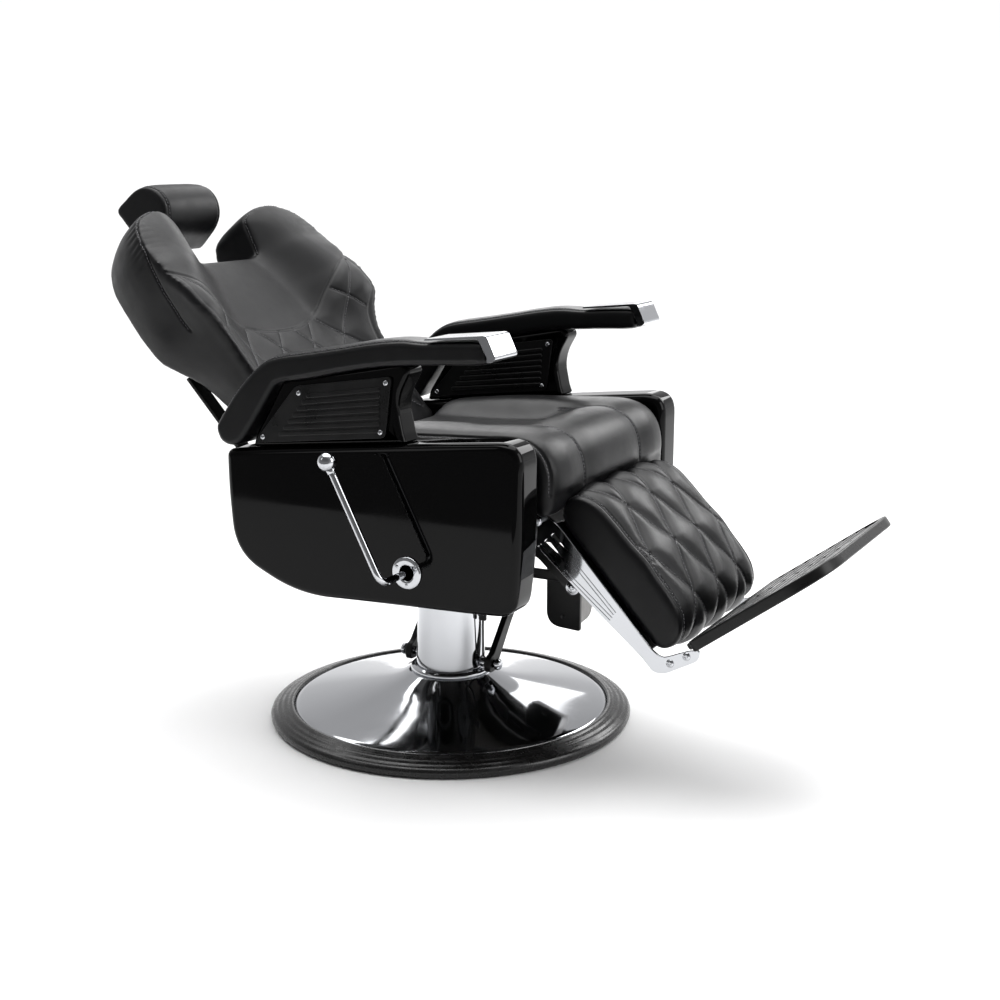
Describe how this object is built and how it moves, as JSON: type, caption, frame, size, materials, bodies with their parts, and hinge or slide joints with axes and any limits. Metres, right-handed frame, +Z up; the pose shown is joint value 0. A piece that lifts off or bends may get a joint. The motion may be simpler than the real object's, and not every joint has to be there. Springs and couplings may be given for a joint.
{
  "type": "hydraulic barber chair",
  "caption": "Reclining barber chair on a round hydraulic pedestal, with padded seat, back, headrest, armrests, linked legrest and footplate.",
  "frame": {"origin": "on the swivel axis, at floor level under the round base", "axes": "+Z up, the sitter faces -Y, so +X is the sitter's left"},
  "size_m": [0.761, 1.4708, 0.971],
  "materials": {
    "chrome": "polished",
    "ground_steel": "ground",
    "black_steel": "satin black",
    "cast_iron": "black enamel",
    "gloss_panel": "high gloss",
    "black_plastic": "satin",
    "rubber": "moulded",
    "leatherette": "fine-grain vinyl",
    "plywood": "raw"
  },
  "bodies": {
    "base": {"base_floor_plate": "cast_iron", "base_chrome_cover": "chrome", "base_rubber_ring": "rubber", "column_collar": "chrome", "pump_cylinder": "cast_iron", "column_shroud": "chrome", "pump_pivot_pin_front": "chrome", "pump_pivot_pin_rear": "chrome", "valve_rod": "black_steel"},
    "pedal": {"pump_pedal_fork": "black_steel", "pump_pedal_pad": "rubber"},
    "ram": {"hydraulic_ram": "ground_steel"},
    "seat": {"swivel_hub": "cast_iron", "frame_crossbar_front": "black_steel", "frame_crossbar_rear": "black_steel", "frame_rail_right": "black_steel", "frame_side_plate_right": "black_steel", "legrest_pivot_pin_right": "ground_steel", "side_panel_right": "gloss_panel", "arm_support_right": "gloss_panel", "armrest_pad_right": "leatherette", "armrest_cap_right": "chrome", "arm_insert_outer_right": "black_plastic", "arm_insert_inner_right": "black_plastic", "frame_rail_left": "black_steel", "frame_side_plate_left": "black_steel", "legrest_pivot_pin_left": "ground_steel", "side_panel_left": "gloss_panel", "arm_support_left": "gloss_panel", "armrest_pad_left": "leatherette", "armrest_cap_left": "chrome", "arm_insert_outer_left": "black_plastic", "arm_insert_inner_left": "black_plastic", "backrest_pivot_shaft": "ground_steel", "recline_strut_cylinder": "black_steel", "seat_pan_board": "plywood", "seat_cushion": "leatherette", "lever_escutcheon": "chrome"},
    "lever": {"recline_lever_rod": "chrome", "recline_lever_ball": "chrome"},
    "strut": {"recline_strut_rod": "ground_steel"},
    "backrest": {"backrest_cushion": "leatherette", "backrest_board": "plywood", "backrest_rear_pad": "leatherette", "backrest_bracket_right": "black_steel", "backrest_bracket_left": "black_steel", "backrest_torque_tube": "black_steel", "headrest_socket": "black_steel"},
    "headrest_slider": {"headrest_post": "chrome"},
    "headrest": {"headrest_bracket": "ground_steel", "headrest_cushion": "leatherette"},
    "legrest": {"legrest_cushion": "leatherette", "legrest_board": "black_steel", "legrest_bracket_right": "chrome", "legrest_bracket_left": "chrome", "link_bolt_right": "chrome", "link_bolt_left": "chrome", "footplate": "cast_iron"},
    "link_right": {"recline_link_right": "black_steel"},
    "link_left": {"recline_link_left": "black_steel"}
  },
  "joints": [
    {"name": "pump_pedal", "type": "hinge", "parent": "base", "child": "pedal", "pos_m": [0, 0, 0.109], "axis": [0, 1, 0], "range_deg": [0, 22], "stiffness_Nm_per_rad": 25, "springref_deg": -20.05},
    {"name": "lift", "type": "slide", "parent": "base", "child": "ram", "axis": [0, 0, 1], "range_m": [0, 0.15]},
    {"name": "swivel", "type": "hinge", "parent": "ram", "child": "seat", "pos_m": [0, 0, 0.37], "axis": [0, 0, 1], "continuous": true},
    {"name": "recline_lever", "type": "hinge", "parent": "seat", "child": "lever", "pos_m": [-0.3, -0.107, 0.365], "axis": [1, 0, 0], "range_deg": [-22, 0], "stiffness_Nm_per_rad": 4, "springref_deg": 20.05},
    {"name": "backrest_recline", "type": "hinge", "parent": "seat", "child": "backrest", "pos_m": [0, 0.175, 0.47], "axis": [1, 0, 0], "range_deg": [0, 30]},
    {"name": "legrest_swing", "type": "hinge", "parent": "seat", "child": "legrest", "pos_m": [0, -0.28, 0.445], "axis": [1, 0, 0], "range_deg": [0, 38.01]},
    {"name": "link_swing_right", "type": "hinge", "parent": "legrest", "child": "link_right", "pos_m": [0, -0.333, 0.33], "axis": [1, 0, 0], "range_deg": [-37.1, 0]},
    {"name": "link_swing_left", "type": "hinge", "parent": "legrest", "child": "link_left", "pos_m": [0, -0.333, 0.33], "axis": [1, 0, 0], "range_deg": [-37.1, 0]},
    {"name": "strut_extend", "type": "slide", "parent": "seat", "child": "strut", "axis": [0, 1, 0], "range_m": [0, 0.0445]},
    {"name": "headrest_height", "type": "slide", "parent": "backrest", "child": "headrest_slider", "axis": [0, 0.6756, 0.7373], "range_m": [-0.08, 0.02]},
    {"name": "headrest_tilt", "type": "hinge", "parent": "headrest_slider", "child": "headrest", "pos_m": [0, 0.67171, 0.87884], "axis": [1, 0, 0], "range_deg": [-25, 0]}
  ],
  "couplings": [
    {"joint": "legrest_swing", "follows": "backrest_recline", "ratio": 1.2667},
    {"joint": "link_swing_right", "follows": "backrest_recline", "ratio": -1.2327},
    {"joint": "link_swing_left", "follows": "backrest_recline", "ratio": -1.2327},
    {"joint": "strut_extend", "follows": "backrest_recline", "m_per_rad": 0.0839}
  ]
}
